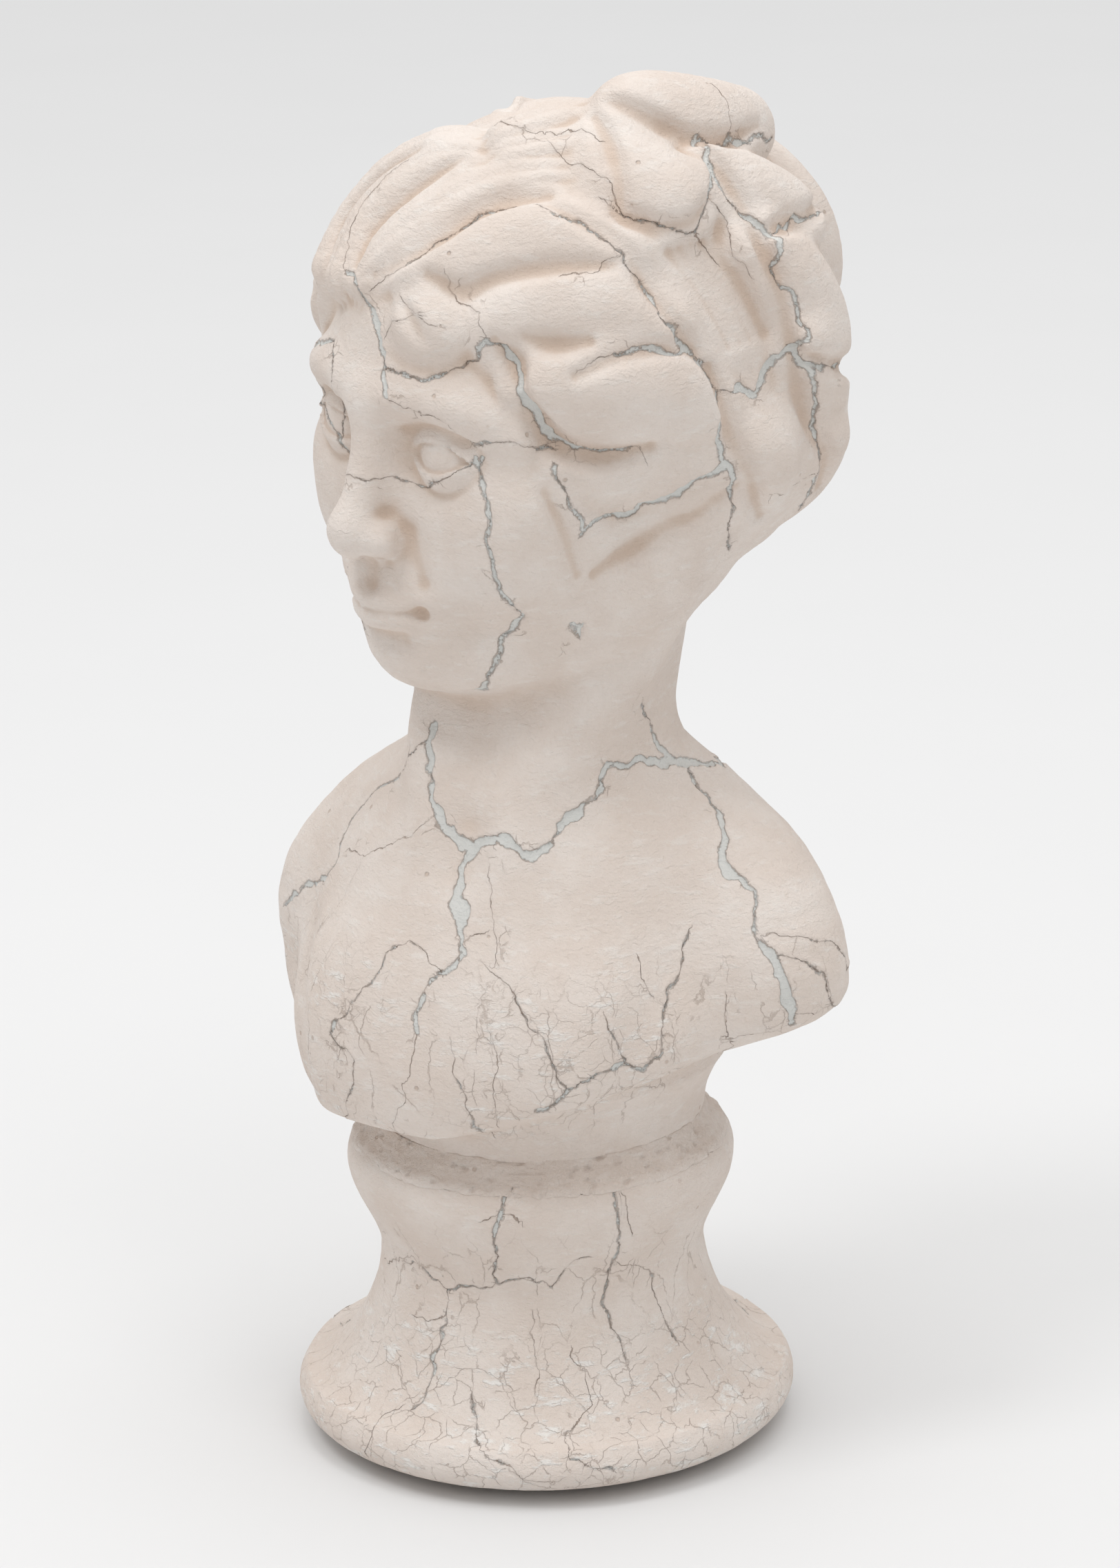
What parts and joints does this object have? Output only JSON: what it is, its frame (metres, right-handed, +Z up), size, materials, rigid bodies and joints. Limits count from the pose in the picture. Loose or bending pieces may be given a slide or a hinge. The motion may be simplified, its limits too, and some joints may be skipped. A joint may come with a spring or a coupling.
{
  "type": "bust on a turned socle",
  "caption": "Classical bust of a figure with rolled, pinned-up hair on a round turned socle, cast stone with a crackled matt coat.",
  "frame": {"origin": "centre of the felt ring's lower face, where the socle rests on the table", "axes": "+Z up along the socle's axis; the chest faces -Y; the figure's left shoulder is at +X"},
  "size_m": [0.1278, 0.1178, 0.2779],
  "materials": {
    "coated_cast": "matte",
    "mortar": "matte",
    "brass": "satin",
    "zinc_steel": "satin",
    "felt": "matte"
  },
  "bodies": {
    "root": {"bust": "coated_cast", "socle": "coated_cast", "mortar_bed": "mortar", "threaded_insert": "brass", "tie_rod": "zinc_steel", "washer": "zinc_steel", "nut": "zinc_steel", "base_felt": "felt"}
  },
  "joints": []
}
